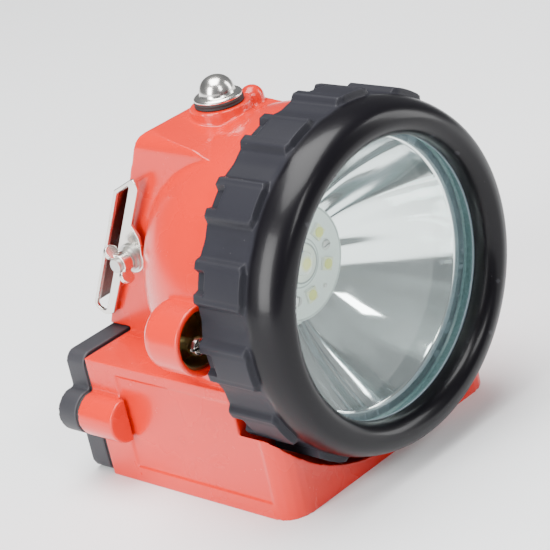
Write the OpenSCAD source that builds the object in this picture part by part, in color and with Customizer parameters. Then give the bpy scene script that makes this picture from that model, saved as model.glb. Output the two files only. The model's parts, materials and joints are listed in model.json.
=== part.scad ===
// Cordless cap lamp: a round lamp head on a battery box, with a knurled screw ring,
// a sealed push button on top, a lock for the ring at the side and a helmet clip behind.
// +X is to the right seen from the front, -Y is the way the lamp shines and +Z is up.
// The origin is the middle of the base, on the surface that the lamp stands on.

/* [Battery box] */
// Width of the battery box
box_w = 65; // [64.6:0.2:66]
// Depth of the box from its front face to the back of its cover
box_d = 60; // [60:0.5:62]
// Height of the box at its back
box_h = 28.2; // [27.6:0.2:29]
// Thickness of the moulded walls
wall = 2.2; // [1.8:0.1:2.4]
// Depth of the rear cover
cover_d = 5.5; // [5:0.1:6]

/* [Lamp head] */
// Height of the lamp axis above the base
axis_h = 41; // [41:0.2:42]
// Radius of the round bowl behind the ring
bowl_r = 34; // [33.6:0.1:34.2]
// Radius over the thread crests of the neck
neck_r = 32; // [31.8:0.1:32.2]
// Radius of the light opening
opening_r = 29; // [28.4:0.1:29.2]
// Radius over the knurl pads of the screw ring
pad_r = 38.2; // [37.6:0.1:38.6]
// Number of knurl pads
pad_count = 14; // [12:1:16]

/* [Clip and fasteners] */
// Lean of the back face from upright, in degrees
lean = 24.5; // [23:0.5:26]
// Tilt of the clip from the back face about its bolt, in degrees
clip_tilt = 4.7; // [4.2:0.1:5]
// Radius of the clip bolt
bolt_r = 1.5; // [1.5:0.1:1.6]

/* [Hidden] */
$fn = 96;
eps = 0.01;

// Places, measured from the origin
front_y = -box_d / 2;
back_y = box_d / 2;
seal_t = 0.8;
seam_y = back_y - cover_d - seal_t;
head_y = front_y + 11.5;
cover_top = box_h + 0.5;

// Lamp head, as radius and distance forward of its rear plane
bowl_f = -3;
saddle_f = 0.6;
saddle_r = pad_r + 1;
neck_len = 12;
neck_bore = neck_r - 2.4;
ring_back = 1.9;
ring_r = 36.7;
ring_front = 22.9;
ring_bore = neck_r + 0.08;
pocket_r = 30.75;
pad_front = 15;
glass_r = 30.4;
glass_t = 3;
flange_t = 1;
seal_f = neck_len + flange_t;
glass_f = seal_f + 0.9;
gasket_f = glass_f + glass_t;
gasket_t = 0.4;
lip_f = gasket_f + gasket_t + 0.1;
thread_pitch = 1.5;

// Reflector: a paraboloid from its throat to its rim
throat_r = 12.4;
throat_f = -5;
rim_r = 28;
dish_t = 1;
dish_k = (rim_r * rim_r - throat_r * throat_r) / (seal_f - throat_f);
board_r = 13.2;
board_t = 1.6;
led_ring_r = 7.6;
led_ring_a = -25;

// Upper housing behind the bowl
slab_foot_w = 37;
slab_near = 16.1;
slab_far = 10.6;
slab_fall = 2;
slab_top = axis_h + 33.4;
slab_foot = cover_top + 0.2;
slab_lean = (slab_top - slab_foot) * tan(lean);
slab_crown = 3.6;

// Button on the top
boss_r = 6.4;
boss_top = slab_top + 1.2;
stud_r = 2.6;
button_seal_t = 1.3;
flange_r = 5.1;

// Ring lock at the side
lock_x = -34.8;
hood_r = 7.4;
hood_len = 11;
hood_hole = 6.2;
hood_depth = 8.5;
screw_drop = 1.6;
lock_a = -28;

// Screw bosses of the cover
ear_x = 33.3;
ear_z = axis_h - 25.2;
ear_r = 4.9;
ear_len = 10.4;
insert_r = 2.6;

// Clip bolt, as distances along and into the back face
bolt_u = 22.5;
bolt_n = 5.2;
bolt_y = back_y - bolt_u * sin(lean) - bolt_n * cos(lean);
bolt_z = slab_foot + bolt_u * cos(lean) - bolt_n * sin(lean);
sheet = 0.8;
clip_in = 18.9;
driver_posts = [-5.4, 11.6];

// Battery
cell = [50, 33, 10];
cell_y = 2.9;
tray_t = 1;
tray_w = 57;

// Local frames ------------------------------------------------------------

// Lamp head: local z runs forward along the lamp axis, local y is up
module head() {
  translate([0, head_y, axis_h]) rotate([90, 0, 0]) children();
}

// Back face: local y runs up the face, local z out of it
module on_back() {
  translate([0, back_y, slab_foot]) rotate([90 - lean, 0, 180]) children();
}

// Bolt of the clip: local z runs out to the -X side
module on_bolt() {
  translate([0, bolt_y, bolt_z]) rotate([0, -90, 0]) children();
}

// Ring lock: local z runs forward
module at_lock() {
  head() translate([lock_x, 0, 0]) children();
}

// Screw of the lock, below the middle of the hood
module at_screw() {
  at_lock() translate([0, -screw_drop, 0]) children();
}

// Cover screws: local z runs forward from the seam
module at_ears() {
  for (side = [-1, 1])
    translate([side * ear_x, seam_y, ear_z]) rotate([90, 0, 0]) children();
}

// Shapes used by several pieces ------------------------------------------

function corner(cx, cy, r, a0) =
  [for (i = [0:5]) [cx + r * cos(a0 + 18 * i), cy + r * sin(a0 + 18 * i)]];

// Rectangle with rounded corners, given by its two opposite corners
module round_rect(x0, y0, x1, y1, r) {
  polygon(concat(
    corner(x1 - r, y1 - r, r, 0), corner(x0 + r, y1 - r, r, 90),
    corner(x0 + r, y0 + r, r, 180), corner(x1 - r, y0 + r, r, 270)));
}

module ring(r_out, r_in, f0, f1) {
  translate([0, 0, f0]) difference() {
    cylinder(r = r_out, h = f1 - f0);
    translate([0, 0, -1]) cylinder(r = r_in, h = f1 - f0 + 2);
  }
}

// A round wire along a list of points
module wire(points, r) {
  for (i = [0:len(points) - 2]) {
    step = points[i + 1] - points[i];
    flat = norm([step[0], step[1]]);
    translate(points[i])
      rotate([0, atan2(flat, step[2]), atan2(step[1], step[0])])
        cylinder(r = r, h = norm(step), $fn = 16);
  }
  if (len(points) > 2)
    for (i = [1:len(points) - 2]) translate(points[i]) sphere(r = r * 1.25, $fn = 16);
}

// Screw with a slotted pan head: the head stands on z = 0 and the shank goes down
module pan_screw(shank_r, shank_len, head_r, head_t) {
  translate([0, 0, -shank_len]) cylinder(r = shank_r, h = shank_len + eps, $fn = 32);
  difference() {
    rotate_extrude($fn = 48) polygon([
      [0, 0], [head_r, 0], [head_r, head_t * 0.55], [head_r * 0.82, head_t * 0.9], [0, head_t]]);
    translate([-head_r, -head_r * 0.14, head_t * 0.5]) cube([2 * head_r, head_r * 0.28, head_t]);
  }
}

// Housing -----------------------------------------------------------------

// Arc of a rounded edge between a side that leans by a0 from upright and the top
function crown_arc(cx, cz, r, a0) =
  [for (i = [0:5]) let (a = a0 + (90 - a0) * i / 5) [cx + r * cos(a), cz + r * sin(a)]];

// Upper housing: its profile from the side met with its outline from behind
module slab(inset) {
  foot_z = slab_foot - 6;
  top_z = slab_top - inset;
  r = slab_crown - inset;
  arc_z = top_z - r;
  intersection() {
    translate([-40, 0, 0]) rotate([90, 0, 90]) linear_extrude(80) slab_side(foot_z, top_z, arc_z, r, inset);
    translate([0, 50, 0]) rotate([90, 0, 0]) linear_extrude(90) slab_outline(foot_z, arc_z, r, inset);
  }
}

module slab_side(foot_z, top_z, arc_z, r, inset) {
  low_y = back_y + 6 * tan(lean) - inset / cos(lean);
  arc_y = back_y - (inset + r + (arc_z - slab_foot) * sin(lean)) / cos(lean);
  front = head_y + 4;
  polygon(concat(
    [[front, top_z - 5], [front, foot_z], [low_y, foot_z]],
    crown_arc(arc_y, arc_z, r, lean),
    [[head_y + 12, top_z - slab_fall]]));
}

// The shoulder on the +X side is drawn in further than the one beside the clip bolt
module slab_outline(foot_z, arc_z, r, inset) {
  foot_x = slab_foot_w / 2 + 0.4 - inset;
  polygon(concat(
    [[-foot_x, foot_z - 2], [foot_x, foot_z - 2]],
    shoulder(slab_far, arc_z, r, inset),
    [for (p = reverse(shoulder(slab_near, arc_z, r, inset))) [-p[0], p[1]]]));
}

function reverse(list) = [for (i = [len(list) - 1:-1:0]) list[i]];

function shoulder(top_x, arc_z, r, inset) = let (
  taper = atan((slab_foot_w / 2 - top_x) / (slab_top - slab_foot)),
  arc_x = top_x + (slab_top - arc_z) * tan(taper) - (inset + r) / cos(taper)
) crown_arc(arc_x, arc_z, r + 0.02, taper);

module box_shell() {
  linear_extrude(box_h)
    round_rect(-box_w / 2, front_y, box_w / 2, seam_y + 7, 5.5);
}

module label_recess() {
  recess = 0.4;
  for (side = [-1, 1])
    translate([side * box_w / 2 - recess, front_y + 5, axis_h - 37.3])
      cube([2 * recess, 40, 22]);
}

module housing_solid() {
  difference() {
    union() {
      box_shell();
      slab(0);
      head() bowl_form(bowl_r, saddle_f);
      at_ears() cylinder(r = ear_r, h = ear_len, $fn = 48);
      button_boss();
    }
    translate([-60, seam_y, -5]) cube([120, 60, slab_foot + 5]);
    head() translate([0, 0, saddle_f]) cylinder(r = saddle_r, h = 30, $fn = 128);
    label_recess();
  }
}

// Half ball with a straight collar in front of it
module bowl_form(r, front) {
  rotate_extrude($fn = 128) {
    intersection() {
      translate([0, bowl_f]) circle(r = r);
      translate([0, bowl_f - r - 1]) square([r + 1, r + 1]);
    }
    translate([0, bowl_f]) square([r, front - bowl_f]);
  }
}

module hood() {
  at_lock() rotate_extrude($fn = 64) polygon([
    [0, -hood_len], [hood_r - 2.6, -hood_len], [hood_r - 1.1, -hood_len + 0.7],
    [hood_r - 0.3, -hood_len + 1.8], [hood_r, -hood_len + 3.2], [hood_r, 0], [0, 0]]);
}

module button_boss() {
  boss_foot = slab_top - 2.8;
  translate([0, 0, boss_foot]) {
    cylinder(r = boss_r + 1, h = 1, $fn = 64);
    cylinder(r = boss_r, h = boss_top - boss_foot, $fn = 64);
  }
  // Round stud beside the button
  translate([boss_r + 1.3, -1.6, boss_foot]) rotate_extrude($fn = 48) {
    square([stud_r, 2.4]);
    translate([0, 2.4]) intersection() {
      circle(r = stud_r, $fn = 48);
      square(stud_r + 1);
    }
  }
}

module neck() {
  head() difference() {
    translate([0, 0, 0.2]) cylinder(r = neck_r, h = neck_len - 0.2, $fn = 128);
    translate([0, 0, -1]) cylinder(r = neck_bore, h = neck_len + 2, $fn = 128);
    ring(neck_r + 1, neck_r - 1.3, 2.2, 4.2);
    for (i = [0:3])
      translate([0, 0, 6.2 + i * thread_pitch]) rotate_extrude($fn = 128)
        polygon([[neck_r + 0.2, -0.6], [neck_r - 0.7, 0], [neck_r + 0.2, 0.6]]);
  }
}

module housing_cavity() {
  // Battery space, open to the rear
  translate([-box_w / 2 + wall, head_y + 2.5, wall])
    cube([box_w - 2 * wall, 70, box_h - 2 * wall]);
  intersection() {
    slab(wall);
    translate([-50, head_y, box_h - wall - 1]) cube([100, 100, 80]);
  }
  head() {
    bowl_form(bowl_r - wall, 0);
    translate([0, 0, -1]) cylinder(r = neck_bore, h = neck_len + 2, $fn = 128);
  }
}

module body_housing() {
  color([0.93, 0.2, 0.12]) difference() {
    union() {
      difference() {
        housing_solid();
        difference() {
          housing_cavity();
          // Floor of the upper housing over the cover
          translate([-50, seam_y - wall, box_h - wall + 0.05])
            cube([100, 50, slab_foot - box_h + 2 * wall]);
        }
      }
      neck();
      hood();
      // Tube that carries the clip bolt through the housing
      intersection() {
        on_bolt() cylinder(r = 3.6, h = 60, center = true, $fn = 48);
        slab(0.2);
      }
      // Posts that hold the driver board
      for (x = driver_posts) on_back()
        translate([x, 33, -5]) cylinder(r = 1.8, h = 4, $fn = 32);
    }
    on_bolt() cylinder(r = bolt_r + 0.1, h = 80, center = true, $fn = 48);
    at_lock() {
      translate([0, 0, -hood_depth]) cylinder(r = hood_hole, h = hood_depth + 1, $fn = 64);
    }
    at_screw() translate([0, 0, -hood_len + 0.6]) cylinder(r = 2.6, h = 3, $fn = 48);
    at_ears() translate([0, 0, -1]) cylinder(r = insert_r, h = 8, $fn = 48);
    // Well of the button: a guide for the stem and a seat for the spring
    cylinder_up(2.1, slab_top - 8, boss_top + 1);
    cylinder_up(3.4, slab_top - 8, slab_top - 1.4);
  }
}

module cylinder_up(r, z0, z1) {
  translate([0, 0, z0]) cylinder(r = r, h = z1 - z0, $fn = 48);
}

// Rear cover --------------------------------------------------------------

module cover_outline(inset) {
  round_rect(-box_w / 2 + inset, inset, box_w / 2 - inset, cover_top - inset, 2.6 - inset / 2);
}

module rear_cover() {
  lip = 2.5;
  color([0.13, 0.13, 0.14]) difference() {
    union() {
      translate([0, back_y, 0]) rotate([90, 0, 0]) linear_extrude(cover_d) cover_outline(0);
      cover_lip(lip);
      for (side = [-1, 1])
        translate([side * ear_x, back_y, ear_z]) rotate([90, 0, 0])
          cylinder(r = ear_r, h = cover_d, $fn = 48);
    }
    // Hollow of the cover
    translate([-box_w / 2 + 6.4, back_y - cover_d - 10, wall + 1.4])
      cube([box_w - 12.8, 10 + cover_d - wall, box_h - 2 * wall - 2.8]);
    for (side = [-1, 1])
      translate([side * ear_x, back_y + 1, ear_z]) rotate([90, 0, 0]) {
        cylinder(r = 1.7, h = 12, $fn = 32);
        cylinder(r = 3.2, h = 3.4, $fn = 48);
      }
  }
}

// Lip that enters the box
module cover_lip(lip) {
  gap = 0.2;
  translate([-box_w / 2 + wall + gap, back_y - cover_d - seal_t - lip, wall + gap]) difference() {
    cube([box_w - 2 * (wall + gap), lip + seal_t + 1, box_h - 2 * (wall + gap)]);
    translate([1.2, -1, 1.2])
      cube([box_w - 2 * (wall + gap) - 2.4, lip + 10, box_h - 2 * (wall + gap) - 2.4]);
  }
}

module cover_seal() {
  inset = 0.35;
  gap = 0.1;
  color([0.04, 0.04, 0.04]) translate([0, seam_y + seal_t, 0]) rotate([90, 0, 0])
    difference() {
      union() {
        linear_extrude(seal_t) round_rect(-box_w / 2 + inset, inset, box_w / 2 - inset,
                                          box_h - inset, 2.3);
        for (side = [-1, 1])
          translate([side * ear_x, ear_z, 0]) cylinder(r = ear_r - inset, h = seal_t, $fn = 48);
      }
      translate([-box_w / 2 + wall + gap, wall + gap, -1])
        cube([box_w - 2 * (wall + gap), box_h - 2 * (wall + gap), 3]);
      for (side = [-1, 1])
        translate([side * ear_x, ear_z, -1]) cylinder(r = 1.7, h = 3, $fn = 32);
    }
}

module cover_screws() {
  color([0.75, 0.75, 0.74])
    for (side = [-1, 1])
      translate([side * ear_x, back_y - 2.4, ear_z]) rotate([-90, 0, 0])
        pan_screw(1.45, 10, 2.8, 1.9);
}

module cover_inserts() {
  color([0.78, 0.62, 0.3]) at_ears() ring(insert_r, 1.5, 0, 6.5);
}

// Screw ring, glass and seals --------------------------------------------

// One knurl pad, seen along the lamp axis
module pad_outline() {
  foot = 7.9;
  crown = 6.2;
  polygon([
    [(ring_r - 0.6) * cos(foot), -(ring_r - 0.6) * sin(foot)],
    [(ring_r + 0.7) * cos(foot - 0.9), -(ring_r + 0.7) * sin(foot - 0.9)],
    [pad_r * cos(crown), -pad_r * sin(crown)],
    [pad_r * cos(crown / 2), -pad_r * sin(crown / 2)],
    [pad_r, 0],
    [pad_r * cos(crown / 2), pad_r * sin(crown / 2)],
    [pad_r * cos(crown), pad_r * sin(crown)],
    [(ring_r + 0.7) * cos(foot - 0.9), (ring_r + 0.7) * sin(foot - 0.9)],
    [(ring_r - 0.6) * cos(foot), (ring_r - 0.6) * sin(foot)]
  ]);
}

module bezel_ring() {
  color([0.12, 0.12, 0.13]) head() {
    difference() {
      union() {
        rotate_extrude($fn = 128) polygon([
          [ring_bore, ring_back], [ring_r, ring_back], [ring_r, pad_front + 0.4],
          [36.6, 16.8], [36.2, 18.7], [35.4, 20.7], [34.4, 22], [33, 22.7],
          [31.6, ring_front], [30.4, 22.3], [29.5, 21.3], [opening_r, 20.2], [opening_r, lip_f],
          [pocket_r, lip_f], [pocket_r, neck_len + 0.6], [ring_bore, neck_len + 0.6]
        ]);
        for (i = [0:pad_count - 1]) rotate([0, 0, 5 + i * 360 / pad_count])
          translate([0, 0, ring_back]) linear_extrude(pad_front - ring_back) pad_outline();
      }
      for (i = [0:pad_count - 1]) rotate([0, 0, 5 + i * 360 / pad_count])
        translate([ring_r + 0.3, -2.3, ring_back - 1]) cube([5, 4.6, 4]);
    }
  }
}

module bezel_o_ring() {
  section = 0.6;
  color([0.05, 0.05, 0.05]) head() translate([0, 0, 3.2]) rotate_extrude($fn = 128)
    translate([neck_r - 1.28 + section, 0]) circle(r = section, $fn = 24);
}

module lens_glass() {
  bevel = 0.4;
  color([0.75, 0.9, 0.88, 0.35]) head() rotate_extrude($fn = 128) polygon([
    [0, glass_f], [glass_r - bevel, glass_f], [glass_r, glass_f + bevel],
    [glass_r, gasket_f - bevel], [glass_r - bevel, gasket_f], [0, gasket_f]
  ]);
}

module lens_seal() {
  color([0.05, 0.05, 0.05]) head() ring(glass_r, 28.3, seal_f, glass_f);
}

module lens_gasket() {
  color([0.05, 0.05, 0.05]) head() ring(glass_r - 0.1, opening_r + 0.1, gasket_f, gasket_f + gasket_t);
}

// Light unit --------------------------------------------------------------

function dish(i, n, t) = let (
  f = throat_f + (seal_f - throat_f) * i / n,
  r = sqrt(dish_k * (f - throat_f) + throat_r * throat_r)
) [r + t, f];

module reflector() {
  n = 16;
  color([0.86, 0.88, 0.9]) head() rotate_extrude($fn = 128) polygon(concat(
    [for (i = [0:n]) dish(i, n, 0)],
    [[glass_r, seal_f], [glass_r, neck_len], [dish(n - 1, n, dish_t)[0] + 0.4, neck_len]],
    [for (i = [n - 2:-1:0]) dish(i, n, dish_t)]
  ));
}

module led_board() {
  color([0.85, 0.9, 0.84]) head() difference() {
    translate([0, 0, throat_f - board_t]) cylinder(r = board_r, h = board_t);
    for (i = [0:2]) rotate([0, 0, led_ring_a + 30 + 120 * i])
      translate([8, 0, throat_f - board_t - 1]) cylinder(r = 0.7, h = 4, $fn = 24);
  }
}

module main_led() {
  color([0.9, 0.87, 0.45]) head() translate([0, 0, throat_f]) {
    cylinder(r = 4.4, h = 0.5, $fn = 48);
    rotate_extrude($fn = 48) polygon([
      [0, 0], [2.6, 0], [2.6, 0.9], [2.3, 1.3], [1.7, 1.6], [0.9, 1.8], [0, 1.85]]);
  }
}

module aux_leds() {
  size = 2.8;
  color([0.9, 0.87, 0.45]) head() for (i = [0:5])
    rotate([0, 0, led_ring_a + 60 * i]) translate([led_ring_r, 0, throat_f]) {
      translate([-size / 2, -size / 2, 0]) cube([size, size, 0.7]);
      translate([0, 0, 0.6]) cylinder(r = 1.1, h = 0.3, $fn = 32);
    }
}

module board_screws() {
  color([0.7, 0.7, 0.7]) head() for (i = [0:2]) rotate([0, 0, led_ring_a + 30 + 120 * i])
    translate([8, 0, throat_f]) pan_screw(0.65, 3.6, 1.1, 0.6);
}

module heat_sink() {
  base = 2.2;
  fin = 1;
  back = throat_f - board_t;
  color([0.72, 0.73, 0.74]) head() difference() {
    translate([0, 0, back - 7]) cylinder(r = 14.5, h = 7);
    for (i = [-4:4]) translate([-20, i * 3.1 - fin, back - 8]) cube([40, 2 * fin, 8 - base]);
    for (i = [0:2]) rotate([0, 0, led_ring_a + 30 + 120 * i])
      translate([8, 0, back - 8]) cylinder(r = 0.7, h = 9, $fn = 24);
  }
}

module led_leads() {
  for (side = [-1, 1])
    color(side < 0 ? "firebrick" : "black") wire([
      [side * 2, head_y + 13.6, axis_h + 16.5],
      [side * 2, head_y + 18, axis_h + 18.5],
      [side * 3, head_y + 22.5, axis_h + 21]
    ], 0.6);
}

module driver_board() {
  color([0.1, 0.4, 0.2]) on_back() difference() {
    translate([-7.6, 28.5, -6.6]) cube([21.4, 9, 1.6]);
    for (x = driver_posts) translate([x, 33, -8]) cylinder(r = 0.8, h = 4, $fn = 24);
  }
}

module driver_parts() {
  color([0.2, 0.2, 0.22]) on_back() {
    translate([-1.6, 33, -9.6]) cylinder(r = 2.4, h = 3, $fn = 32);
    translate([2, 30.6, -7.8]) cube([4, 5, 1.2]);
    translate([7.4, 35.2, -7.6]) cube([2, 1.2, 1]);
    translate([7.4, 30.2, -7.6]) cube([2, 1.2, 1]);
  }
}

// Battery -----------------------------------------------------------------

module battery_cells() {
  for (i = [0:1])
    color([0.2, 0.35, 0.6])
      translate([-cell[0] / 2, cell_y - cell[1] / 2, wall + tray_t + 0.05 + i * (cell[2] + 0.6)])
        cube([cell[0], cell[1], cell[2]]);
}

module battery_tray() {
  color([0.15, 0.15, 0.16]) difference() {
    translate([-tray_w / 2, cell_y - cell[1] / 2 - 1.3, wall + 0.05])
      cube([tray_w, cell[1] + 2.6, 6]);
    translate([-cell[0] / 2 - 0.1, cell_y - cell[1] / 2 - 0.1, wall + tray_t + 0.04])
      cube([cell[0] + 0.2, cell[1] + 0.2, 20]);
    for (side = [-1, 1])
      translate([side * 26.9 - 1, cell_y - 12, wall + tray_t]) cube([2, 24, 20]);
  }
}

module foam_pad() {
  color([0.25, 0.25, 0.27])
    translate([-22, cell_y - 15, wall + tray_t + 0.05 + cell[2]]) cube([44, 30, 0.6]);
}

module protection_board() {
  top = wall + tray_t + 0.05 + 2 * cell[2] + 0.6;
  color([0.1, 0.35, 0.25]) {
    translate([-16, cell_y + 5, top]) cube([32, 10, 1]);
    translate([-6, cell_y + 7, top + 1 - eps]) cube([5, 4, 1]);
  }
}

module battery_leads() {
  top = wall + tray_t + 0.05 + 2 * cell[2] + 1.6;
  for (side = [-1, 1])
    color(side < 0 ? "firebrick" : "black") wire([
      [side * 9, cell_y + 10, top + 0.5],
      [side * 7, cell_y + 5, top + 26]
    ], 0.7);
}

// Button ------------------------------------------------------------------

module button_dome() {
  z0 = boss_top + button_seal_t;
  color([0.8, 0.8, 0.78]) {
    translate([0, 0, z0]) rotate_extrude($fn = 64) polygon([
      [0, 0], [flange_r, 0], [flange_r, 0.5], [flange_r - 0.4, 0.8], [3.85, 0.95],
      [3.75, 1.2], [3.6, 2.1], [3.25, 3], [2.7, 3.8], [1.9, 4.4], [1, 4.7], [0, 4.8]]);
    cylinder_up(2.04, slab_top - 2.6, z0 + eps);
    cylinder_up(1.2, slab_top - 7.1, slab_top - 2.6 + eps);
  }
}

module button_seal() {
  color([0.05, 0.05, 0.05]) difference() {
    cylinder_up(flange_r + 0.1, boss_top, boss_top + button_seal_t);
    cylinder_up(2.3, boss_top - 1, boss_top + button_seal_t + 1);
  }
}

module button_spring() {
  turns = 6;
  color([0.7, 0.7, 0.7]) for (i = [0:turns - 1])
    translate([0, 0, slab_top - 7.9 + i * 0.8]) rotate_extrude($fn = 48)
      translate([1.75, 0]) circle(r = 0.25, $fn = 16);
}

module tact_switch() {
  z0 = slab_top - 10.6;
  color([0.12, 0.12, 0.12]) {
    translate([-3, -3, z0]) cube([6, 6, 2.4]);
    cylinder_up(1.1, z0 + 2.3, z0 + 2.7);
  }
}

module switch_board() {
  z0 = slab_top - 10.6;
  color([0.1, 0.4, 0.2]) translate([-9, -5, z0 - 1.2]) cube([18, 10, 1.2]);
}

// Helmet clip -------------------------------------------------------------

// Clip: turned about its bolt from the back face, so that the hook plate's foot stands off
module on_clip() {
  on_back() translate([0, bolt_u, -bolt_n]) rotate([-clip_tilt, 0, 0])
    translate([0, -bolt_u, bolt_n]) children();
}

// Side frame of the clip, as distances up and out: a wall with the bolt's ear in front
// of an open slot, and the edge of the hook plate behind the slot
module clip_frame_outline() {
  difference() {
    union() {
      polygon([
        [4.6, -3.4], [2.8, -1.8], [2.3, -0.6], [2.3, 1.2], [2.7, 2], [3.4, 2.4], [35.8, 2.4],
        [41.4, -1.3], [41.7, -2], [41.4, -2.7], [40.2, -3.65], [30.3, -3.65], [28.6, -6.2],
        [27.2, -7], [25.5, -7.6], [20, -7.2], [17.1, -3.5]]);
      translate([bolt_u, -bolt_n]) circle(r = 3.6, $fn = 48);
    }
    translate([bolt_u, -bolt_n]) circle(r = bolt_r + 0.1, $fn = 48);
    polygon([
      [4.2, -1.3], [3.5, -0.9], [3.1, -0.2], [3.1, 1], [3.5, 1.5], [4, 1.6], [35.5, 1.6],
      [39.4, -0.9], [39.2, -1.3]]);
  }
}

module clip_bracket() {
  color([0.8, 0.8, 0.79]) on_clip() {
    // Hook plate
    translate([-clip_in - sheet / 2, 4.2, 1.62]) cube([2 * clip_in + sheet, 31, sheet - 0.04]);
    for (side = [-1, 1])
      translate([side * (clip_in + sheet / 2) + sheet / 2, 0, 0]) rotate([0, -90, 0])
        linear_extrude(sheet) rotate([0, 0, 90]) mirror([1, 0]) rotate([0, 0, 180])
          clip_frame_outline();
  }
}

module clip_bolt() {
  head_z = clip_in + sheet + 0.6;
  color([0.72, 0.72, 0.71]) on_bolt() {
    translate([0, 0, -head_z]) cylinder(r = bolt_r, h = head_z + 24.4, $fn = 48);
    translate([0, 0, -head_z - 2.2]) cylinder(r = 2.8, h = 2.2 + eps, $fn = 6);
  }
}

module bolt_washers() {
  color([0.76, 0.76, 0.75]) on_bolt() {
    ring(3.1, bolt_r + 0.1, clip_in + sheet + 0.02, clip_in + sheet + 0.5);
    ring(2.6, bolt_r + 0.1, clip_in + sheet + 0.54, clip_in + sheet + 1.14);
    ring(3.4, bolt_r + 0.1, -clip_in - sheet - 0.56, -clip_in - sheet - 0.04);
  }
}

module wing_nut() {
  z0 = clip_in + sheet + 1.25;
  color([0.8, 0.8, 0.79]) on_bolt() difference() {
    union() {
      translate([0, 0, z0]) cylinder(r = 2.2, h = 2.6, $fn = 48);
      rotate([0, 0, 32]) for (side = [-1, 1])
        translate([0, 0.55, z0 + 0.8]) rotate([90, 0, 0]) linear_extrude(1.1) {
          translate([side * 3, 1.5]) circle(r = 1.6, $fn = 32);
          polygon([[side * 1, -0.5], [side * 1, 1.2], [side * 2.6, 2.7], [side * 4.2, 0.6]]);
        }
    }
    translate([0, 0, z0 - 1]) cylinder(r = bolt_r + 0.05, h = 10, $fn = 48);
  }
}

// Ring lock ---------------------------------------------------------------

module lock_screw() {
  color([0.8, 0.8, 0.78]) at_screw() translate([0, 0, -3]) pan_screw(1.45, 6.6, 2.1, 2);
}

// Pointed tab on the screw's head, which drops into a notch of the ring
module lock_tab() {
  color([0.8, 0.8, 0.78]) at_screw() rotate([0, 0, lock_a])
    translate([0, 0, -0.98]) linear_extrude(0.8)
      polygon([[-0.6, -1.3], [-0.6, 1.2], [0.6, 1.7], [1.9, 1.5], [4.3, 0.1], [4.2, -0.5],
               [2, -1.5]]);
}

module lock_sleeve() {
  color([0.55, 0.45, 0.22]) at_lock() ring(hood_hole, hood_hole - 0.6, -hood_depth, -1.3);
}

module lock_insert() {
  bore = 1.55;
  color([0.78, 0.62, 0.3]) difference() {
    union() {
      at_lock() translate([0, 0, -hood_depth]) cylinder(r = hood_hole - 0.65, h = 1.6, $fn = 64);
      at_screw() translate([0, 0, -hood_len + 0.6])
        cylinder(r = 2.6, h = hood_len - 0.6 - hood_depth + eps, $fn = 48);
    }
    at_screw() translate([0, 0, -hood_len]) cylinder(r = bore, h = 6, $fn = 48);
  }
}

// Assembly ----------------------------------------------------------------

body_housing();
rear_cover();
cover_seal();
cover_screws();
cover_inserts();
bezel_ring();
bezel_o_ring();
lens_glass();
lens_seal();
lens_gasket();
reflector();
led_board();
main_led();
aux_leds();
board_screws();
heat_sink();
led_leads();
driver_board();
driver_parts();
battery_cells();
battery_tray();
protection_board();
foam_pad();
battery_leads();
button_dome();
button_seal();
button_spring();
tact_switch();
switch_board();
clip_bracket();
clip_bolt();
bolt_washers();
wing_nut();
lock_screw();
lock_tab();
lock_sleeve();
lock_insert();
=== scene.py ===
"""Looks of a cordless cap lamp: soft-edged mouldings, the knurled screw ring, the
aluminised reflector, plated hardware and their finishes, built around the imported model."""
import json
import math

import bmesh
import bpy
from mathutils import Matrix, Vector


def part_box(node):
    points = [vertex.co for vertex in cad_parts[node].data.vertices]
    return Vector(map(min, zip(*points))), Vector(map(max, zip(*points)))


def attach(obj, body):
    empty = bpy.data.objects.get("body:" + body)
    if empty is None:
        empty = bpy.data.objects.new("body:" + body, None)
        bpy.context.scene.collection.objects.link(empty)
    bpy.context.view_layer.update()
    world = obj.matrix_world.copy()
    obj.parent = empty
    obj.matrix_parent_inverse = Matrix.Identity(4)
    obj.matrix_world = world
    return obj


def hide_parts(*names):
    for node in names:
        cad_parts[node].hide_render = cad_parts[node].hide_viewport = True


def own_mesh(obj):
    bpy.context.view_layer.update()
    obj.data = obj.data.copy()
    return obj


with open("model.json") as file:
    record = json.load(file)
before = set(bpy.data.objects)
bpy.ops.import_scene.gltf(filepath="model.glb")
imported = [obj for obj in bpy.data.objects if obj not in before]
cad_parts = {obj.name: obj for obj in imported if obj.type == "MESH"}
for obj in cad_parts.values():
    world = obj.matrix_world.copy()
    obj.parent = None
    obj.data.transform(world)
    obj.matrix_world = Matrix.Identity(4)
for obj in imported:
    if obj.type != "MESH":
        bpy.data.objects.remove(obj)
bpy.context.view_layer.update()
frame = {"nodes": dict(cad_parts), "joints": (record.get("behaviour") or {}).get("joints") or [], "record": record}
NODES = frame["nodes"]
MM = 0.001
SLOT_OF = {part["node"]: part["material_slot"] for part in frame["record"]["subparts"]}


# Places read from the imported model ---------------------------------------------

def middle(node):
    low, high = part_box(node)
    return (low + high) / 2


def joint_point(name):
    return Vector(next(j for j in frame["joints"] if j["name"] == name)["pos_m"])


RING_LOW, RING_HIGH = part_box("bezel_ring")
BOARD_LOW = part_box("led_board")[0]
DOME_LOW, DOME_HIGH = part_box("button_dome")
SEAL_LOW, SEAL_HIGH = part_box("button_seal")
LAMP_Z = joint_point("ring_turn").z
HEAD_Y = joint_point("lock_turn").y
HOOK = next(m for m in frame["record"]["mounts"] if m["name"] == "helmet_clip_plate")
HOOK_POINT = Vector(HOOK["pos_m"])
HOOK_AXIS = Vector(HOOK["axis"])
HOOK_HALF_WIDTH = 18.8
HOOK_SHEET = 0.74
PAD_R = (RING_HIGH.z - RING_LOW.z) / 2
PAD_END = 15.0


# Shader building -----------------------------------------------------------------

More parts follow.
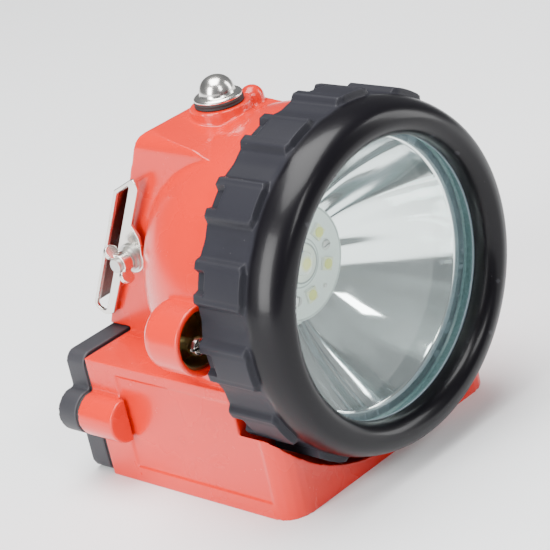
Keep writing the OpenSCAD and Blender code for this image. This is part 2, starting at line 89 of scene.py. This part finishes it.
class Value:
    """A number that varies over a surface; each sum or product of it is a Math node."""

    def __init__(self, finish, socket):
        self.finish = finish
        self.socket = socket

    def math(self, operation, *numbers, clamp=False):
        return self.finish.node("ShaderNodeMath", {"operation": operation, "use_clamp": clamp},
                                dict(enumerate(numbers)))

    def __add__(self, other):
        return self.math("ADD", self, other)

    def __sub__(self, other):
        return self.math("SUBTRACT", self, other)

    def __rsub__(self, other):
        return self.math("SUBTRACT", other, self)

    def __mul__(self, other):
        return self.math("MULTIPLY", self, other)

    def __truediv__(self, other):
        return self.math("DIVIDE", self, other)

    def __pow__(self, other):
        return self.math("POWER", self, other)

    __radd__ = __add__
    __rmul__ = __mul__

    def root(self):
        return self.math("SQRT", self)

    def size(self):
        return self.math("ABSOLUTE", self)

    def clamped(self):
        return self.math("ADD", self, 0.0, clamp=True)

    def rise(self, start, end):
        """0 before start, 1 after end, and straight between them."""
        return self.math("MULTIPLY", self - start, 1 / (end - start), clamp=True)


class Finish:
    """One procedural material."""

    def __init__(self, name):
        self.material = bpy.data.materials.new(name)
        self.material.use_nodes = True
        self.tree = self.material.node_tree
        self.tree.nodes.clear()

    def node(self, kind, settings=None, inputs=None, out=0):
        made = self.tree.nodes.new(kind)
        for key, value in (settings or {}).items():
            setattr(made, key, value)
        for key, value in (inputs or {}).items():
            if isinstance(value, Value):
                self.tree.links.new(value.socket, made.inputs[key])
            else:
                made.inputs[key].default_value = value
        return Value(self, made.outputs[out])

    def place(self):
        """The point on the piece, in metres."""
        return self.node("ShaderNodeTexCoord", out="Object")

    def axes(self):
        split = self.node("ShaderNodeSeparateXYZ", inputs={0: self.place()}).socket.node
        return [Value(self, split.outputs[i]) for i in range(3)]

    def from_axis(self, across=0.0, height=0.0):
        """Distance from a line that runs front to back at this x and z."""
        x, _, z = self.axes()
        x, z = x - across, z - height
        return (x * x + z * z).root()

    def stretched(self, x, y, z):
        return self.node("ShaderNodeVectorMath", {"operation": "MULTIPLY"},
                         {0: self.place(), 1: (x, y, z)})

    def noise(self, per_metre, detail=3.0, rough=0.55, at=None):
        return self.node("ShaderNodeTexNoise", {}, {
            "Vector": at or self.place(), "Scale": per_metre, "Detail": detail,
            "Roughness": rough})

    def cells(self, per_metre, at=None):
        return self.node("ShaderNodeTexVoronoi", {}, {"Vector": at or self.place(), "Scale": per_metre})

    def mix(self, share, a, b):
        return self.node("ShaderNodeMix", {"data_type": "RGBA"},
                         {0: share, 6: colour(a), 7: colour(b)}, out=2)

    def bump(self, height, strength, depth_mm, under=None):
        inputs = {"Height": height, "Strength": strength, "Distance": depth_mm * MM}
        if under is not None:
            inputs["Normal"] = under
        return self.node("ShaderNodeBump", {}, inputs)

    def edges(self, low=0.5, high=0.56):
        """How convex the surface is here, from 0 on flats to 1 on sharp edges."""
        return self.node("ShaderNodeNewGeometry", out="Pointiness").rise(low, high)

    def principled(self, **inputs):
        named = {key.replace("_", " "): value for key, value in inputs.items()}
        return self.node("ShaderNodeBsdfPrincipled", {}, named)

    def done(self, shader):
        """Puts the shader on the surface and gives back the material."""
        end = self.tree.nodes.new("ShaderNodeOutputMaterial")
        self.tree.links.new(shader.socket, end.inputs["Surface"])
        return self.material


def colour(value):
    return value if isinstance(value, Value) or len(value) == 4 else (*value, 1.0)


# Finishes -------------------------------------------------------------------------

def red_moulding():
    """Glossy orange-red moulding: faint flow clouds, orange peel and hairline scuffs."""
    f = Finish("red_moulding")
    clouds = f.noise(38, 4)
    scuffs = f.noise(60, 6, 0.7, f.stretched(9, 1, 2)).rise(0.62, 0.74)
    specks = f.cells(900).rise(0.16, 0.05) * f.noise(140, 2).rise(0.6, 0.75)
    worn = f.edges(0.515, 0.60)
    base = f.mix(clouds, (0.64, 0.010, 0.002), (0.70, 0.016, 0.003))
    base = f.mix(worn * 0.25, base, (0.75, 0.06, 0.03))
    base = f.mix(specks * 0.35, base, (0.35, 0.02, 0.008))
    peel = f.bump(f.noise(650, 2), 0.10, 0.05)
    fine = f.bump(f.noise(5200, 3), 0.06, 0.02, peel)
    return f.done(f.principled(
        Base_Color=base, Roughness=0.25 + scuffs * 0.12 + clouds * 0.05 + specks * 0.2,
        Coat_Weight=0.22 - scuffs * 0.12, Coat_Roughness=0.1, Specular_IOR_Level=0.4,
        Subsurface_Weight=0.06, Subsurface_Radius=(0.004, 0.0008, 0.0004),
        Subsurface_Scale=0.6, Normal=fine))


def black_moulding():
    """Satin charcoal moulding with a spark-eroded grain."""
    f = Finish("black_moulding")
    grain = f.noise(2600, 4, 0.65)
    clouds = f.noise(45, 3)
    worn = f.edges(0.515, 0.6)
    base = f.mix(clouds, (0.019, 0.019, 0.023), (0.028, 0.028, 0.034))
    base = f.mix(worn * 0.5, base, (0.1, 0.1, 0.11))
    return f.done(f.principled(
        Base_Color=base, Roughness=0.46 + clouds * 0.1 + grain * 0.08,
        Specular_IOR_Level=0.4, Normal=f.bump(grain, 0.28, 0.04)))


def ring_moulding():
    """Screw ring: satin grain on the pads, polished round front with painted shade in its darker colour, worn
    edges.
    """
    f = Finish("ring_moulding")
    y = f.axes()[1]
    front = y.rise(HEAD_Y - (PAD_END - 0.2) * MM, HEAD_Y - (PAD_END + 0.8) * MM)
    grain = f.noise(2400, 4, 0.65)
    clouds = f.noise(50, 4)
    hairs = f.noise(90, 5, 0.7, f.stretched(1, 7, 1)).rise(0.66, 0.76)
    dust = f.cells(620).rise(0.10, 0.04) * f.noise(95, 2).rise(0.55, 0.7)
    worn = f.edges(0.52, 0.62)
    pads = f.mix(clouds, (0.013, 0.013, 0.017), (0.021, 0.021, 0.027))
    # Painted shade: the round front gets a far darker base colour than the pads, standing in for the shade on the
    # less-lit front; its polish is the lower roughness and the coat.
    base = f.mix(front, pads, (0.004, 0.0035, 0.005))
    base = f.mix(worn * 0.3, base, (0.07, 0.07, 0.08))
    base = f.mix(dust * 0.4, base, (0.2, 0.2, 0.2))
    rough = 0.45 - front * 0.19 + clouds * 0.06 + hairs * 0.08 + dust * 0.2
    return f.done(f.principled(
        Base_Color=base, Roughness=rough, Specular_IOR_Level=0.16,
        Coat_Weight=front * 0.09, Coat_Roughness=0.1,
        Normal=f.bump(grain, 0.16, 0.03, f.bump(f.noise(420, 2), 0.08, 0.06))))


def rubber():
    f = Finish("soft_rubber")
    grain = f.noise(3200, 3)
    patches = f.noise(160, 3)
    base = f.mix(patches, (0.012, 0.012, 0.012), (0.026, 0.026, 0.027))
    return f.done(f.principled(
        Base_Color=base, Roughness=0.62 + grain * 0.2, Normal=f.bump(grain, 0.4, 0.05)))


def nickel_plate(painted_gap_reflection=False):
    """Pale satin nickel over pressed or turned metal, with drawn lines and small pits.
    The hook plate's inner face can be painted dark, as a painted reflection of the shaded gap between the plate
    and the housing."""
    f = Finish("nickel_plate")
    drawn = f.noise(700, 4, 0.6, f.stretched(1, 1, 0.08))
    tarnish = f.noise(120, 4).rise(0.45, 0.75)
    pits = f.cells(1500).rise(0.09, 0.03)
    base = f.mix(tarnish * 0.6, (0.80, 0.78, 0.74), (0.62, 0.58, 0.51))
    # Painted reflection: the hook plate's inner face is darkened to stand in for the dark gap it mirrors.
    if painted_gap_reflection:
        x, y, z = f.axes()
        inward = (HOOK_POINT.y - y) * HOOK_AXIS.z - (HOOK_POINT.z - z) * HOOK_AXIS.y
        near_face = inward.rise((HOOK_SHEET - 0.19) * MM, (HOOK_SHEET - 0.04) * MM)
        between = x.size().rise((HOOK_HALF_WIDTH + 0.15) * MM, HOOK_HALF_WIDTH * MM)
        gap_reflection_mask = near_face * between
        base = f.mix(gap_reflection_mask * (0.86 + tarnish * 0.1), base, (0.055, 0.038, 0.032))
    return f.done(f.principled(
        Base_Color=base, Metallic=1.0, Roughness=0.17 + drawn * 0.1 + tarnish * 0.1 + pits * 0.15,
        Normal=f.bump(drawn, 0.12, 0.02, f.bump(pits, 0.15, 0.02))))


def silicone():
    """Grey-blue silicone of the glass's gasket."""
    f = Finish("glass_silicone")
    grain = f.noise(1500, 3)
    base = f.mix(grain, (0.20, 0.26, 0.30), (0.30, 0.37, 0.41))
    return f.done(f.principled(
        Base_Color=base, Roughness=0.25 + grain * 0.2, Normal=f.bump(grain, 0.15, 0.04)))


def steel():
    f = Finish("zinc_steel")
    patches = f.noise(900, 4)
    base = f.mix(patches, (0.52, 0.52, 0.5), (0.68, 0.68, 0.66))
    return f.done(f.principled(
        Base_Color=base, Metallic=1.0, Roughness=0.27 + patches * 0.16,
        Normal=f.bump(f.noise(2600, 2), 0.15, 0.02)))


def brass():
    """Turned brass, dulled to olive, with tool rings around the lock's axis."""
    f = Finish("turned_brass")
    sleeve = middle("lock_sleeve")
    out = f.from_axis(sleeve.x, sleeve.z)
    rings = f.node("ShaderNodeMath", {"operation": "SINE"}, {0: out * 21000})
    dull = f.noise(300, 4)
    base = f.mix(dull, (0.48, 0.37, 0.16), (0.25, 0.20, 0.085))
    return f.done(f.principled(
        Base_Color=base, Metallic=0.85 + dull * 0.1, Roughness=0.32 + dull * 0.2,
        Normal=f.bump(rings, 0.2, 0.02)))


def clear_pane():
    """Polished glass: clear with a faint green cast, a thin gloss and a little dust."""
    f = Finish("clear_pane")
    dust = f.cells(700).rise(0.07, 0.03) * f.noise(120, 2).rise(0.6, 0.75)
    smear = f.noise(30, 4).rise(0.5, 0.9)
    clear = f.node("ShaderNodeBsdfTransparent", {}, {"Color": (0.965, 0.99, 0.98, 1)})
    gloss = f.principled(Base_Color=f.mix(dust, (0.9, 0.96, 0.95), (0.95, 0.95, 0.95)),
                         Metallic=1.0 - dust, Roughness=0.02 + smear * 0.04)
    slant = f.node("ShaderNodeLayerWeight", {}, {"Blend": 0.5}, out=1)
    share = (slant ** 4.0 * 0.5 + 0.035 + dust * 0.2 + smear * 0.01).clamped()
    return f.done(f.node("ShaderNodeMixShader", {}, {0: share, 1: clear, 2: gloss}))


def pane_edge():
    """The pane's ground rim, where the glass looks green."""
    f = Finish("pane_edge")
    grind = f.noise(1400, 3)
    clear = f.node("ShaderNodeBsdfTransparent", {}, {"Color": (0.62, 0.84, 0.82, 1)})
    tint = f.principled(Base_Color=f.mix(grind, (0.16, 0.31, 0.32), (0.3, 0.47, 0.48)),
                        Roughness=0.22 + grind * 0.2)
    return f.done(f.node("ShaderNodeMixShader", {}, {0: 0.55 + grind * 0.2, 1: clear, 2: tint}))


def aluminised():
    """Vacuum-metallised reflector: bright, with slight radial draw marks and ripple."""
    f = Finish("aluminised")
    x, y, z = f.axes()
    z = z - LAMP_Z
    out = (x * x + z * z).root()
    around = f.node("ShaderNodeCombineXYZ", {}, {0: x / out, 1: z / out, 2: y * 6.0})
    folds = f.noise(1.5, 1, 0.4, around)
    draw = f.noise(9, 3, 0.6, around)
    ripple = f.noise(150, 2, 0.4)
    haze = f.noise(70, 4).rise(0.45, 0.85)
    base = f.mix(haze, (0.93, 0.945, 0.955), (0.86, 0.88, 0.895))
    return f.done(f.principled(
        Base_Color=base, Metallic=1.0, Roughness=0.05 + haze * 0.05 + draw * 0.05,
        Normal=f.bump(draw, 0.07, 0.2, f.bump(folds, 1.0, 3.6, f.bump(ripple, 0.1, 0.12)))))


def white_board():
    """Star board: white solder mask and printed circles."""
    f = Finish("white_board")
    out = f.from_axis(height=LAMP_Z)
    circles = ((out - 5.2 * MM).size().rise(0.22 * MM, 0.1 * MM)
               + (out - 12.1 * MM).size().rise(0.26 * MM, 0.1 * MM)).clamped()
    grain = f.noise(2200, 3)
    base = f.mix(grain, (0.72, 0.80, 0.76), (0.80, 0.86, 0.82))
    base = f.mix(circles * 0.7, base, (0.26, 0.33, 0.31))
    return f.done(f.principled(Base_Color=base, Roughness=0.34 + grain * 0.1,
                               Normal=f.bump(circles, 0.3, 0.05, f.bump(grain, 0.1, 0.02))))


def green_board():
    f = Finish("green_board")
    tracks = f.node("ShaderNodeTexBrick", {"offset": 0.5}, {
        "Vector": f.place(), "Scale": 420.0, "Mortar Size": 0.03}, out="Fac")
    grain = f.noise(1800, 3)
    base = f.mix(grain, (0.01, 0.10, 0.045), (0.016, 0.14, 0.06))
    return f.done(f.principled(Base_Color=f.mix(tracks, base, (0.03, 0.2, 0.09)),
                               Roughness=0.3 + grain * 0.15, Normal=f.bump(tracks, 0.4, 0.05)))


def light_chip():
    """Light chip: pale ceramic body with a yellow phosphor window on its face."""
    f = Finish("light_chip")
    y = f.axes()[1]
    proud = y.rise(BOARD_LOW.y - 0.68 * MM, BOARD_LOW.y - 0.74 * MM)
    grain = f.noise(2600, 3)
    body = f.mix(grain, (0.72, 0.76, 0.66), (0.82, 0.84, 0.75))
    window = f.mix(grain, (0.70, 0.74, 0.10), (0.82, 0.84, 0.24))
    return f.done(f.principled(
        Base_Color=f.mix(proud, body, window), Roughness=0.36 - proud * 0.2 + grain * 0.08,
        Coat_Weight=proud * 0.5, Coat_Roughness=0.06, Normal=f.bump(grain, 0.15, 0.03)))


def silicone_dome():
    """Clear silicone over phosphor: a soft yellow-white bead."""
    f = Finish("silicone_dome")
    out = f.from_axis(height=LAMP_Z)
    core = out.rise(1.9 * MM, 1.0 * MM)
    rim = (out - 4.2 * MM).size().rise(0.3 * MM, 0.12 * MM)
    cloud = f.noise(800, 2)
    base = f.mix(core, (0.80, 0.84, 0.76), (0.86, 0.84, 0.25))
    base = f.mix(rim * 0.8, base, (0.22, 0.27, 0.26))
    return f.done(f.principled(
        Base_Color=base, Roughness=0.12 + cloud * 0.08, Coat_Weight=0.5 + cloud * 0.2,
        Coat_Roughness=0.04, Subsurface_Weight=0.3, Subsurface_Radius=(0.001, 0.001, 0.0005),
        Normal=f.bump(cloud, 0.08, 0.04)))


def aluminium():
    f = Finish("milled_aluminium")
    marks = f.noise(900, 3, 0.5, f.stretched(1, 1, 12))
    base = f.mix(marks, (0.62, 0.63, 0.64), (0.76, 0.77, 0.78))
    return f.done(f.principled(Base_Color=base, Metallic=1.0, Roughness=0.3 + marks * 0.15,
                               Normal=f.bump(marks, 0.2, 0.03)))


def cell_wrap():
    f = Finish("cell_wrap")
    folds = f.noise(260, 4, 0.6, f.stretched(1, 4, 1))
    base = f.mix(folds, (0.02, 0.06, 0.24), (0.03, 0.09, 0.33))
    return f.done(f.principled(Base_Color=base, Roughness=0.25 + folds * 0.2,
                               Normal=f.bump(folds, 0.4, 0.1)))


def foam():
    f = Finish("cell_foam")
    pores = f.cells(1800)
    base = f.mix(pores, (0.03, 0.03, 0.032), (0.075, 0.075, 0.08))
    return f.done(f.principled(Base_Color=base, Roughness=0.85 + pores * 0.1,
                               Normal=f.bump(pores, 0.6, 0.2)))


def wire_skin():
    """Lead insulation: red on one side of the lamp, black on the other."""
    f = Finish("wire_skin")
    x = f.axes()[0]
    side = x.rise(-0.2 * MM, 0.2 * MM)
    gloss = f.noise(1200, 2)
    base = f.mix(side, (0.45, 0.02, 0.015), (0.02, 0.02, 0.02))
    return f.done(f.principled(Base_Color=base, Roughness=0.35 + gloss * 0.15,
                               Normal=f.bump(gloss, 0.1, 0.05)))


def floor_paper():
    f = Finish("floor_paper")
    tone = f.noise(9, 2)
    base = f.mix(tone, (0.84, 0.845, 0.85), (0.86, 0.865, 0.87))
    return f.done(f.principled(Base_Color=base, Roughness=0.7 + tone * 0.1,
                               Normal=f.bump(f.noise(900, 2), 0.05, 0.05)))


FINISHES = {
    "red_shell": red_moulding(), "black_shell": black_moulding(), "black_ring": ring_moulding(),
    "rubber": rubber(), "nickel": nickel_plate(), "steel": steel(), "brass": brass(),
    "glass": clear_pane(), "reflector": aluminised(), "board_white": white_board(),
    "board_green": green_board(), "led": light_chip(), "aluminium": aluminium(),
    "cell_wrap": cell_wrap(), "foam": foam(), "wire": wire_skin(),
}


# Mesh building -------------------------------------------------------------------

def settle(piece, node, body, finishes=None, sharp=35):
    """Finishes a piece: materials from its node's slot, shading, and the body it rides on."""
    mesh = piece.data
    mesh.materials.clear()
    for finish in finishes or [FINISHES[SLOT_OF[node]]]:
        mesh.materials.append(finish)
    mesh.shade_smooth()
    mesh.set_sharp_from_angle(angle=math.radians(sharp))
    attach(piece, body)


def new_piece(name, points, faces):
    mesh = bpy.data.meshes.new(name)
    mesh.from_pydata([tuple(p) for p in points], [], faces)
    mesh.validate()
    piece = bpy.data.objects.new(name, mesh)
    bpy.context.scene.collection.objects.link(piece)
    outward(mesh)
    return piece


def outward(mesh):
    """Joins points that coincide and turns every face outwards."""
    work = bmesh.new()
    work.from_mesh(mesh)
    bmesh.ops.remove_doubles(work, verts=work.verts, dist=1e-7)
    bmesh.ops.recalc_face_normals(work, faces=work.faces)
    work.to_mesh(mesh)
    work.free()


def baked(piece, modifiers):
    """Applies a list of (type, settings) modifiers for good."""
    for kind, settings in modifiers:
        added = piece.modifiers.new(kind.lower(), kind)
        for key, value in settings.items():
            setattr(added, key, value)
    graph = bpy.context.evaluated_depsgraph_get()
    graph.update()
    mesh = bpy.data.meshes.new_from_object(piece.evaluated_get(graph))
    piece.modifiers.clear()
    piece.data = mesh


def soft_copy(name, node, body, voxel_mm, passes, keep=1.0, finishes=None):
    """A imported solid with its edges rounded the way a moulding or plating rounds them."""
    piece = bpy.data.objects.new(name, NODES[node].data.copy())
    bpy.context.scene.collection.objects.link(piece)
    piece.data.materials.clear()
    steps = [("REMESH", {"mode": "VOXEL", "voxel_size": voxel_mm * MM, "use_smooth_shade": True}),
             ("SMOOTH", {"factor": 0.5, "iterations": passes})]
    if keep < 1:
        steps.append(("DECIMATE", {"ratio": keep}))
    baked(piece, steps)
    settle(piece, node, body, finishes, sharp=60)
    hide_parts(node)


def head_point(radius, forward, angle):
    """A point around the lamp axis; forward runs from the head's rear plane to the light."""
    return Vector((radius * MM * math.cos(angle), HEAD_Y - forward * MM,
                   LAMP_Z + radius * MM * math.sin(angle)))


def upright_point(radius, height, angle):
    """A point around the button's upright axis, with its height above the floor."""
    return Vector((radius * MM * math.cos(angle), radius * MM * math.sin(angle), height * MM))


def turned(profile, place, steps, closed=True):
    """Points and faces of a profile, as (radius, along) pairs, turned around an axis."""
    points, faces, rows = [], [], []
    for radius, along in profile:
        if radius < 1e-6:
            rows.append([len(points)] * steps)
            points.append(place(0, along, 0))
        else:
            rows.append([len(points) + i for i in range(steps)])
            points += [place(radius, along, 2 * math.pi * i / steps) for i in range(steps)]
    pairs = list(zip(rows, rows[1:])) + ([(rows[-1], rows[0])] if closed else [])
    for a, b in pairs:
        for i in range(steps):
            j = (i + 1) % steps
            corners = list(dict.fromkeys([a[i], a[j], b[j], b[i]]))
            if len(corners) > 2:
                faces.append(corners)
    return points, faces


def flowing(points, steps=6):
    """A smooth curve through a list of (radius, along) points."""
    ends = [points[0]] + list(points) + [points[-1]]
    out = []
    for p0, p1, p2, p3 in zip(ends, ends[1:], ends[2:], ends[3:]):
        for i in range(steps):
            t = i / steps
            out.append(tuple(
                0.5 * (2 * b + (c - a) * t + (2 * a - 5 * b + 4 * c - d) * t * t
                       + (3 * b - a - 3 * c + d) * t ** 3)
                for a, b, c, d in zip(p0, p1, p2, p3)))
    return out + [points[-1]]


def ease(value, start, end):
    """0 before start, 1 after end, and an S curve between them."""
    t = min(1.0, max(0.0, (value - start) / (end - start)))
    return t * t * (3 - 2 * t)


# Screw ring ----------------------------------------------------------------------

PADS = 14
PAD_PITCH = 360 / PADS
PAD_TURN = 5
RING_BACK = (HEAD_Y - RING_HIGH.y) / MM
RING_FRONT = (HEAD_Y - RING_LOW.y) / MM
RING_R = 36.7
BORE_R = 32.08
FIRST_ROWS = (2.8, 3.4, 4, 4.3, 4.5, 4.7, 4.9, 5.1, 5.3, 6, 7.5, 9, 10.5, 12, 13, 13.6, 13.9)
LAST_ROWS = (14.05, 14.2, 14.35, 14.5, 14.62, 14.74, 14.86, 15)


def pad_height(angle_deg, forward):
    """How far the knurl stands above the ring, in millimetres."""
    off = abs((angle_deg - PAD_TURN + PAD_PITCH / 2) % PAD_PITCH - PAD_PITCH / 2)
    rise = PAD_R / MM - RING_R
    side = 1 - ease(off, 6.1, 8.1)
    crown = rise * side * (1 - 0.05 * (off / 6) ** 2)
    crown -= 0.12 * math.exp(-((off - 5.0) / 0.35) ** 2) * ease(forward, 3, 4.5)
    notch = (1 - ease(off, 2.6, 3.9)) * (1 - ease(forward, 4.2, 5.2))
    crown *= 1 - 0.92 * notch
    valley = -0.45 * ease(off, 7.6, PAD_PITCH / 2)
    round_end = 0.5 * ease(off, 4.6, 7)
    end = 1 - ease(forward, PAD_END - 0.55 - round_end, PAD_END - round_end)
    tail = 1 - ease(forward, PAD_END - 1.5, PAD_END + 1.5)
    return crown * end + valley * tail


def ring_rows():
    """(radius, forward, share of the knurl) from the bore, round the outside, to the bore."""
    back = RING_BACK
    rows = [(BORE_R, 13.6, 0), (BORE_R, 8, 0), (BORE_R, back + 0.35, 0), (BORE_R + 0.35, back, 0),
            (33.6, back, 0), (34.9, back, 0), (RING_R - 0.28, back + 0.02, 0.85),
            (RING_R - 0.12, back + 0.12, 0.96), (RING_R, back + 0.35, 1)]
    rows += [(RING_R, f, 1) for f in FIRST_ROWS + LAST_ROWS]
    front = flowing([(RING_R, 15.3), (36.62, 16.6), (36.25, 18.5), (35.45, 20.6),
                     (34.4, 22), (33, 22.7), (31.65, RING_FRONT), (30.5, 22.45), (29.7, 21.7),
                     (29.25, 20.9), (29.02, 20.2)], 4)
    rows += [(r, min(f, RING_FRONT), 1 if f < 16.5 else 0) for r, f in front]
    rows += [(29.0, 19.6, 0), (29.0, 17.7, 0), (29.2, 17.4, 0), (30.75, 17.4, 0), (30.75, 13.6, 0)]
    return rows


def screw_ring():
    """The knurled ring: the rows' profile turned, with the pads raised on the way round."""
    steps = PADS * 44
    points, faces = [], []
    rows = ring_rows()
    for radius, forward, share in rows:
        for i in range(steps):
            degrees = 360 * i / steps
            knurl = share * pad_height(degrees, forward) if share else 0
            radius_here = min(radius + knurl, PAD_R / MM)
            points.append(head_point(radius_here, forward, math.radians(degrees)))
    for row in range(len(rows)):
        a, b = row * steps, (row + 1) % len(rows) * steps
        faces += [(a + i, a + (i + 1) % steps, b + (i + 1) % steps, b + i) for i in range(steps)]
    piece = new_piece("screw_ring", points, faces)
    settle(piece, "bezel_ring", "ring", sharp=50)
    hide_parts("bezel_ring")


# Light unit ------------------------------------------------------------------------

def reflector_dish():
    """A thin parabolic dish from the throat at the board to the rim behind the glass."""
    throat_r, throat_f, rim_r, rim_f, sheet = 12.4, -5.0, 28.0, 13.0, 1.0
    spread = (rim_r ** 2 - throat_r ** 2) / (rim_f - throat_f)
    count = 60
    inner = []
    for i in range(count + 1):
        f = throat_f + (rim_f - throat_f) * (i / count) ** 1.2
        inner.append((math.sqrt(spread * (f - throat_f) + throat_r ** 2), f))
    inner[-1] = (rim_r - 0.12, rim_f - 0.16)
    rim = [(rim_r + 0.1, rim_f), (30.3, rim_f), (30.4, rim_f - 0.1), (30.4, 12.1), (30.3, 12)]
    outer = [(r + sheet, f) for r, f in reversed(inner) if f < 12]
    points, faces = turned(inner + rim + outer, head_point, 192)
    piece = new_piece("reflector_dish", points, faces)
    settle(piece, "reflector", "housing", sharp=40)
    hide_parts("reflector")


def front_glass():
    """The bevelled pane: clear faces, green ground rim."""
    back, front, edge, bevel = 13.9, 16.9, 30.4, 0.4
    profile = [(0, back), (15, back), (26, back), (edge - bevel, back), (edge, back + bevel),
               (edge, front - bevel), (edge - bevel, front), (26, front), (15, front), (0, front)]
    points, faces = turned(profile, head_point, 160, closed=False)
    piece = new_piece("front_glass", points, faces)
    settle(piece, "lens_glass", "lens", [FINISHES["glass"], pane_edge()], sharp=20)
    for face in piece.data.polygons:
        face.material_index = 1 if abs(face.normal.y) < 0.9 else 0
    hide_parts("lens_glass")


def solder_spots():
    """Three tinned beads on the star board, between its small lights."""
    top = (HEAD_Y - BOARD_LOW.y) / MM
    radius, out, first_angle = 0.5, 9.3, 5
    profile = [(radius * r, top + radius * f) for r, f in (
        (0, 0), (1, 0), (0.96, 0.35), (0.75, 0.62), (0.4, 0.78), (0, 0.82))]
    for i in (1, 3, 5):
        angle = math.radians(first_angle + 60 * i)
        centre = Vector((out * math.cos(angle), 0, out * math.sin(angle))) * MM

        def place(r, f, turn, centre=centre):
            return head_point(r, f, turn) + centre
        points, faces = turned(profile, place, 20, closed=False)
        piece = new_piece(f"solder_spot_{i}", points, faces)
        settle(piece, "board_screws", "housing")


# Button ----------------------------------------------------------------------------

def button_cap():
    """Plated dome over a flared skirt, with the stem that reaches the switch."""
    base, top = SEAL_HIGH.z / MM, DOME_HIGH.z / MM
    foot = DOME_LOW.z / MM
    dome = flowing([(3.86, base + 1.05), (3.74, base + 1.35), (3.6, base + 2.15),
                    (3.2, base + 3.1), (2.6, base + 3.85), (1.8, top - 0.42),
                    (0.9, top - 0.1), (0.0, top)], 6)
    dome = [(max(r, 0.0), min(f, top)) for r, f in dome]
    skirt = flowing([(5.02, base + 0.02), (5.1, base + 0.12), (5.1, base + 0.42),
                     (5.02, base + 0.56), (4.7, base + 0.78), (4.2, base + 0.9),
                     (3.95, base + 0.94), (3.88, base + 0.98)], 3)
    stem = [(0, foot), (1.1, foot), (1.2, foot + 0.1), (1.2, foot + 4.5),
            (2.04, foot + 4.55), (2.04, base)]
    points, faces = turned(stem + skirt + dome, upright_point, 96, closed=False)
    piece = new_piece("button_cap", points, faces)
    settle(piece, "button_dome", "button", sharp=50)
    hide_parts("button_dome")


def button_gasket():
    """Two-lipped rubber under the button."""
    low, high = SEAL_LOW.z / MM, SEAL_HIGH.z / MM
    profile = [(2.3, low), (5.0, low), (5.18, low + 0.12), (5.2, low + 0.4),
               (5.08, low + 0.55), (5.08, low + 0.72), (5.2, low + 0.86),
               (5.18, high - 0.14), (5.0, high - 0.01), (2.3, high - 0.01)]
    points, faces = turned(profile, upright_point, 96)
    piece = new_piece("button_gasket", points, faces)
    settle(piece, "button_seal", "housing", sharp=60)
    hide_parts("button_seal")
    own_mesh(piece)


# Camera, floor and lights -------------------------------------------------------

def camera():
    """Front left and above, tilted a little, from about 46 cm."""
    azimuth, elevation, roll = (math.radians(a) for a in (-42.42, 23.07, -12.71))
    across, above, distance = -9.0, -1.8, 463.3
    back = Vector((math.sin(azimuth) * math.cos(elevation),
                   -math.cos(azimuth) * math.cos(elevation), math.sin(elevation)))
    side = Vector((0, 0, 1)).cross(back).normalized()
    rise = back.cross(side)
    right = math.cos(roll) * side + math.sin(roll) * rise
    up = math.cos(roll) * rise - math.sin(roll) * side
    lens_centre = Vector((0, HEAD_Y, LAMP_Z))
    place = lens_centre + (across * right + above * up + distance * back) * MM
    data = bpy.data.cameras.new("camera")
    data.sensor_width = 36
    data.lens = 147.6
    data.clip_start = 0.02
    data.clip_end = 20
    seen = bpy.data.objects.new("camera", data)
    seen.matrix_world = Matrix((
        (right.x, up.x, back.x, place.x), (right.y, up.y, back.y, place.y),
        (right.z, up.z, back.z, place.z), (0, 0, 0, 1)))
    bpy.context.scene.collection.objects.link(seen)
    bpy.context.scene.camera = seen


def softbox(name, place, target, size, watts):
    data = bpy.data.lights.new(name, "AREA")
    data.shape = "RECTANGLE"
    data.size, data.size_y = size
    data.energy = watts
    lamp = bpy.data.objects.new(name, data)
    lamp.location = place
    lamp.rotation_euler = (Vector(target) - Vector(place)).to_track_quat("-Z", "Y").to_euler()
    bpy.context.scene.collection.objects.link(lamp)


def studio():
    centre = (0, -0.01, 0.035)
    softbox("left_box", (-0.85, 0.05, 0.4), centre, (0.35, 0.7), 13)
    softbox("top_box", (-0.05, 0.05, 0.9), centre, (0.8, 0.6), 20)
    softbox("front_box", (-0.25, -1.0, 0.75), centre, (0.25, 0.5), 5)
    softbox("right_box", (0.9, -0.6, 0.35), centre, (0.3, 0.9), 7)
    world = bpy.data.worlds.new("studio")
    world.use_nodes = True
    fill = world.node_tree.nodes["Background"]
    fill.inputs["Color"].default_value = (0.93, 0.96, 1.0, 1)
    fill.inputs["Strength"].default_value = 0.22
    bpy.context.scene.world = world


def floor():
    reach = 4.0
    corners = [(-reach, -reach, 0), (reach, -reach, 0), (reach, reach, 0), (-reach, reach, 0)]
    piece = new_piece("floor", corners, [(0, 1, 2, 3)])
    piece.data.materials.append(floor_paper())


# The lamp --------------------------------------------------------------------------

def carried_over():
    """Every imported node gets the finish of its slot."""
    own = {"main_led": silicone_dome(), "lens_gasket": silicone(), "lens_seal": silicone()}
    for name, node in NODES.items():
        finish = own.get(name, FINISHES[SLOT_OF[name]])
        for slot in node.material_slots:
            slot.material = finish


def mouldings():
    soft_copy("housing_shell", "body_housing", "housing", 0.3, 3, 0.16)
    soft_copy("cover_shell", "rear_cover", "housing", 0.3, 3, 0.25)


def hardware():
    # The clip's hook plate carries the painted dark reflection on its inner face.
    soft_copy("helmet_clip", "clip_bracket", "housing", 0.15, 3, 0.4, [nickel_plate(painted_gap_reflection=True)])
    soft_copy("clip_wing_nut", "wing_nut", "wing_nut", 0.13, 4, 0.5)
    soft_copy("lock_bar", "lock_tab", "lock", 0.1, 3, 0.5)
    soft_copy("lock_pin", "lock_screw", "lock", 0.1, 2, 0.5)


carried_over()
mouldings()
screw_ring()
reflector_dish()
front_glass()
solder_spots()
button_cap()
button_gasket()
hardware()
floor()
studio()
camera()
